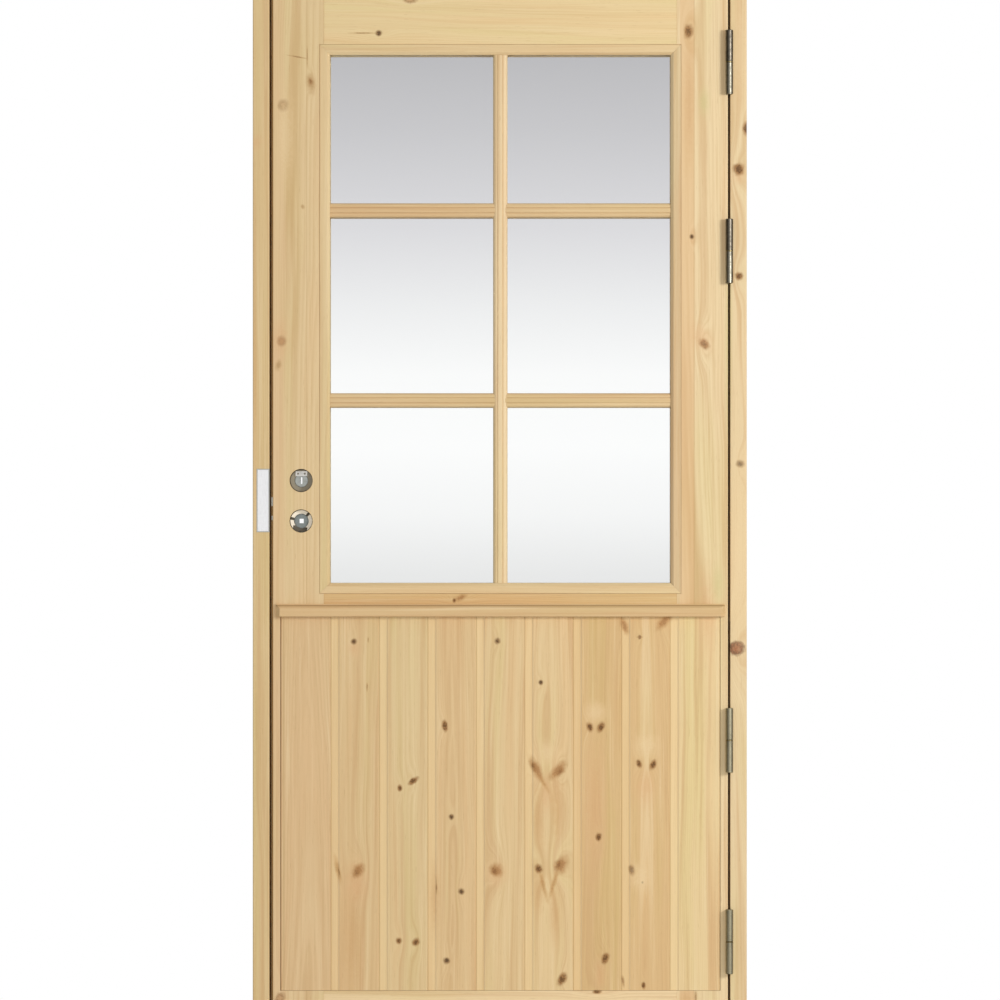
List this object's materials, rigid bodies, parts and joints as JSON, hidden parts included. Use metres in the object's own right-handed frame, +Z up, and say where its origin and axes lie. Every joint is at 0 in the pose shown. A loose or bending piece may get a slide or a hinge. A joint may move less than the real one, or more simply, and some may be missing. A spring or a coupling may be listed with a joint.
{
  "type": "exterior door",
  "caption": "Glazed and boarded pine exterior door in its rebated frame, hung on lift-off hinges to open outwards, with a mortise lock body and strike plate.",
  "frame": {"origin": "middle of the sill's underside, halfway through the depth of the frame", "axes": "+X across the opening to the hinge side, +Y into the house, +Z up"},
  "size_m": [0.89, 0.1078, 2.09],
  "materials": {
    "frame_pine": "clear-lacquered knotty pine",
    "sill_wood": "oiled hardwood",
    "seal_rubber": "matt black",
    "hinge_steel": "zinc-plated, slightly yellowed",
    "washer_brass": "turned",
    "screw_steel": "zinc-plated",
    "strike_zinc": "bright satin",
    "leaf_pine": "clear-lacquered knotty pine",
    "dowel_beech": "bare",
    "core_foam": "foam",
    "board_pine": "clear-lacquered knotty pine",
    "moulding_pine": "clear-lacquered pine",
    "clear_glass": "clear",
    "spacer_aluminium": "dull",
    "block_plastic": "matt",
    "tape_rubber": "matt grey",
    "case_steel": "zinc-plated",
    "guide_plastic": "cream",
    "hub_zinc": "cast, blue-grey",
    "bolt_steel": "nickel-plated"
  },
  "bodies": {
    "frame": {"hinge_jamb": "frame_pine", "lock_jamb": "frame_pine", "frame_head": "frame_pine", "threshold": "sill_wood", "frame_stops": "frame_pine", "frame_seal": "seal_rubber", "hinge_1_frame_half": "hinge_steel", "hinge_2_frame_half": "hinge_steel", "hinge_3_frame_half": "hinge_steel", "hinge_4_frame_half": "hinge_steel", "hinge_pins": "hinge_steel", "hinge_washers": "washer_brass", "frame_screws": "screw_steel", "strike_plate": "strike_zinc"},
    "leaf": {"hinge_stile": "leaf_pine", "lock_stile": "leaf_pine", "top_rail": "leaf_pine", "middle_rail": "leaf_pine", "bottom_rail": "leaf_pine", "rail_dowels": "dowel_beech", "insulation": "core_foam", "outer_board_1": "board_pine", "outer_board_2": "board_pine", "outer_board_3": "board_pine", "outer_board_4": "board_pine", "outer_board_5": "board_pine", "outer_board_6": "board_pine", "outer_board_7": "board_pine", "outer_board_8": "board_pine", "outer_board_9": "board_pine", "inner_boards": "board_pine", "outer_cover_strip": "moulding_pine", "inner_cover_strip": "moulding_pine", "outer_pane": "clear_glass", "inner_pane": "clear_glass", "glass_spacer": "spacer_aluminium", "setting_blocks": "block_plastic", "glazing_tape": "tape_rubber", "outer_bead_top": "moulding_pine", "outer_bead_right": "moulding_pine", "outer_bead_bottom": "moulding_pine", "outer_bead_left": "moulding_pine", "inner_beads": "moulding_pine", "outer_upright_bar": "moulding_pine", "outer_cross_bars": "moulding_pine", "inner_bars": "moulding_pine", "hinge_1_leaf_half": "hinge_steel", "hinge_2_leaf_half": "hinge_steel", "hinge_3_leaf_half": "hinge_steel", "hinge_4_leaf_half": "hinge_steel", "leaf_screws": "screw_steel", "lock_case": "case_steel", "lock_forend": "strike_zinc", "case_guides": "guide_plastic", "driver_plates": "case_steel"},
    "follower": {"follower": "hub_zinc"},
    "latch": {"latch_bolt": "bolt_steel"},
    "driver": {"bolt_driver": "hub_zinc"},
    "bolt": {"dead_bolt": "bolt_steel"},
    "trigger": {"trigger_pin": "bolt_steel"}
  },
  "joints": [
    {"name": "leaf_swing", "type": "hinge", "parent": "frame", "child": "leaf", "pos_m": [0.413, -0.055, 0], "axis": [0, 0, 1], "range_deg": [0, 170]},
    {"name": "follower_turn", "type": "hinge", "parent": "leaf", "child": "follower", "pos_m": [-0.358, -0.016, 1.007], "axis": [0, -1, 0], "range_deg": [0, 40]},
    {"name": "latch_slide", "type": "slide", "parent": "leaf", "child": "latch", "axis": [-1, 0, 0], "range_m": [0, 0.0095]},
    {"name": "driver_turn", "type": "hinge", "parent": "leaf", "child": "driver", "pos_m": [-0.358, -0.016, 1.08], "axis": [0, -1, 0], "range_deg": [0, 90]},
    {"name": "dead_bolt_slide", "type": "slide", "parent": "leaf", "child": "bolt", "axis": [-1, 0, 0], "range_m": [0, 0.02]},
    {"name": "trigger_press", "type": "slide", "parent": "leaf", "child": "trigger", "axis": [1, 0, 0], "range_m": [0, 0.0035], "stiffness_N_per_m": 100}
  ],
  "couplings": [
    {"joint": "follower_turn", "follows": "latch_slide", "rad_per_m": 73.48},
    {"joint": "driver_turn", "follows": "dead_bolt_slide", "rad_per_m": 78.53}
  ]
}
